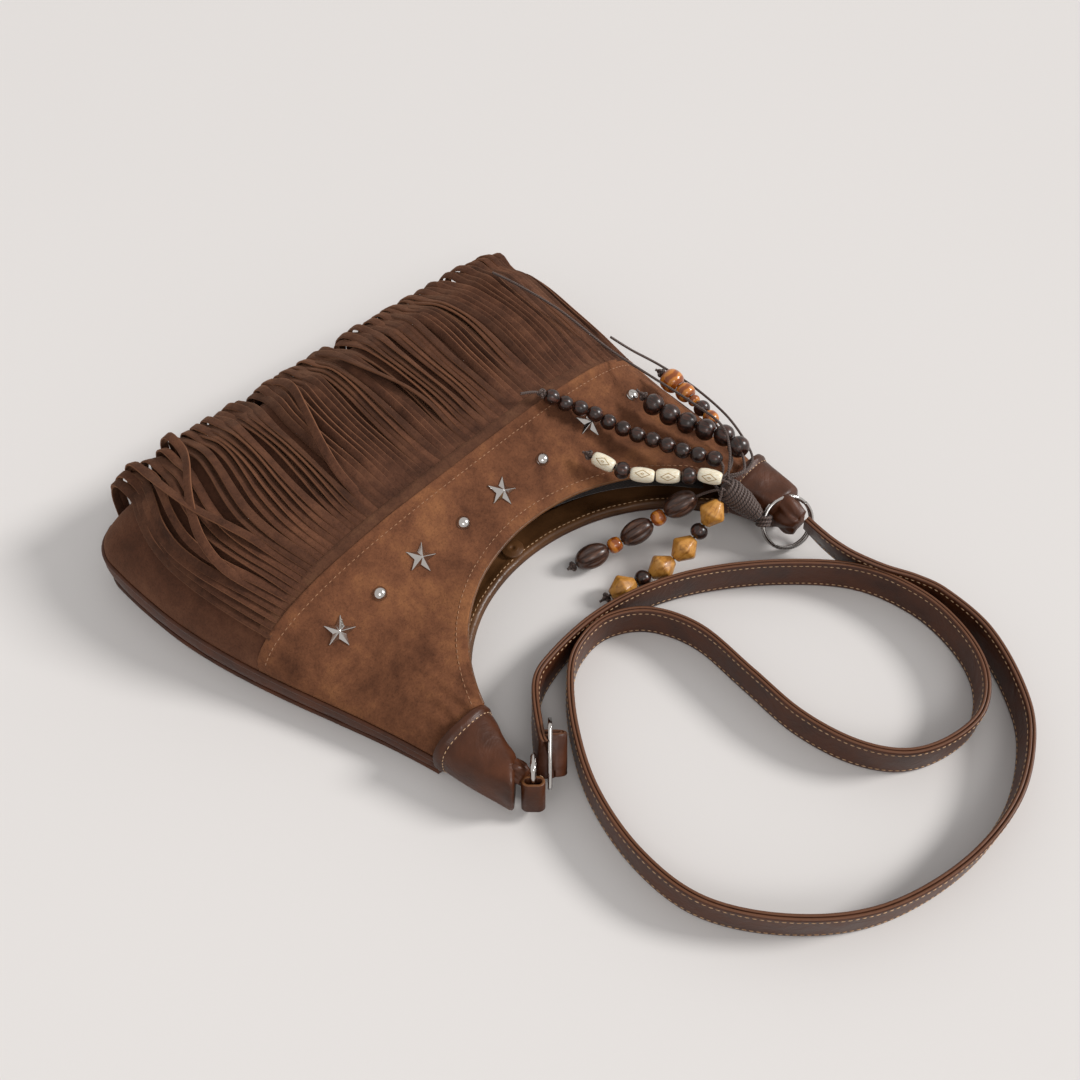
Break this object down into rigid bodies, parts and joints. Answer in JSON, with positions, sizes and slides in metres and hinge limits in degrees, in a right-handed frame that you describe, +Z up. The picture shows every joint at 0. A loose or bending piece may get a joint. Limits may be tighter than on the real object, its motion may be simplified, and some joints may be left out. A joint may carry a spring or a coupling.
{
  "type": "fringed shoulder bag",
  "caption": "Soft suede shoulder bag with a crescent mouth, a cut fringe, metal studs, a looped strap on rings and a charm of beaded cords, lying on its back.",
  "frame": {"origin": "on the floor under the middle of the bag's own box, without the strap and the free cords", "axes": "+X across the bag towards the horn with the split ring, +Y towards the bag's bottom edge, +Z up from the floor through the bag's back and front"},
  "size_m": [0.2943, 0.4377, 0.0671],
  "materials": {
    "suede": "matte nap",
    "fringe_suede": "matte nap",
    "smooth_leather": "semi-gloss",
    "strap_leather": "semi-gloss, painted edges",
    "lining_cloth": "plain weave",
    "chrome": "polished",
    "waxed_cord": "waxed",
    "dark_wood": "lacquered",
    "amber_wood": "lacquered",
    "light_wood": "oiled",
    "bone": "polished bone"
  },
  "bodies": {
    "root": {"back_panel": "smooth_leather", "gusset": "smooth_leather", "lower_front_panel": "suede", "yoke_panel": "suede", "fringe": "fringe_suede", "front_facing": "smooth_leather", "back_facing": "smooth_leather", "lining": "lining_cloth", "magnetic_snap_front": "chrome", "magnetic_snap_back": "chrome", "star_stud_1": "chrome", "star_stud_2": "chrome", "star_stud_3": "chrome", "star_stud_4": "chrome", "dome_stud_1": "chrome", "dome_stud_2": "chrome", "dome_stud_3": "chrome", "dome_stud_4": "chrome", "left_horn_cap": "smooth_leather", "right_horn_cap": "smooth_leather", "left_neck": "smooth_leather", "right_neck": "smooth_leather", "tab_loop": "smooth_leather", "rectangular_ring": "chrome", "slide_adjuster": "chrome", "split_ring": "chrome", "strap": "strap_leather", "charm_tie": "waxed_cord", "charm_wrap": "waxed_cord", "trailing_cord": "waxed_cord", "outer_cord": "waxed_cord", "small_dark_strand": "dark_wood", "large_dark_strand": "dark_wood", "amber_cord": "waxed_cord", "amber_bead_1": "amber_wood", "amber_bead_2": "amber_wood", "amber_bead_3": "amber_wood", "amber_bead_4": "dark_wood", "amber_bead_5": "amber_wood", "bone_cord": "waxed_cord", "bone_bead_1": "bone", "bone_bead_2": "dark_wood", "bone_bead_3": "bone", "bone_bead_4": "bone", "bone_bead_5": "dark_wood", "bone_bead_6": "bone", "oval_cord": "waxed_cord", "oval_bead_1": "dark_wood", "oval_bead_2": "amber_wood", "oval_bead_3": "dark_wood", "oval_bead_4": "amber_wood", "oval_bead_5": "dark_wood", "bicone_cord": "waxed_cord", "bicone_bead_1": "light_wood", "bicone_bead_2": "dark_wood", "bicone_bead_3": "light_wood", "bicone_bead_4": "light_wood", "bicone_bead_5": "dark_wood", "bicone_bead_6": "light_wood"}
  },
  "joints": []
}
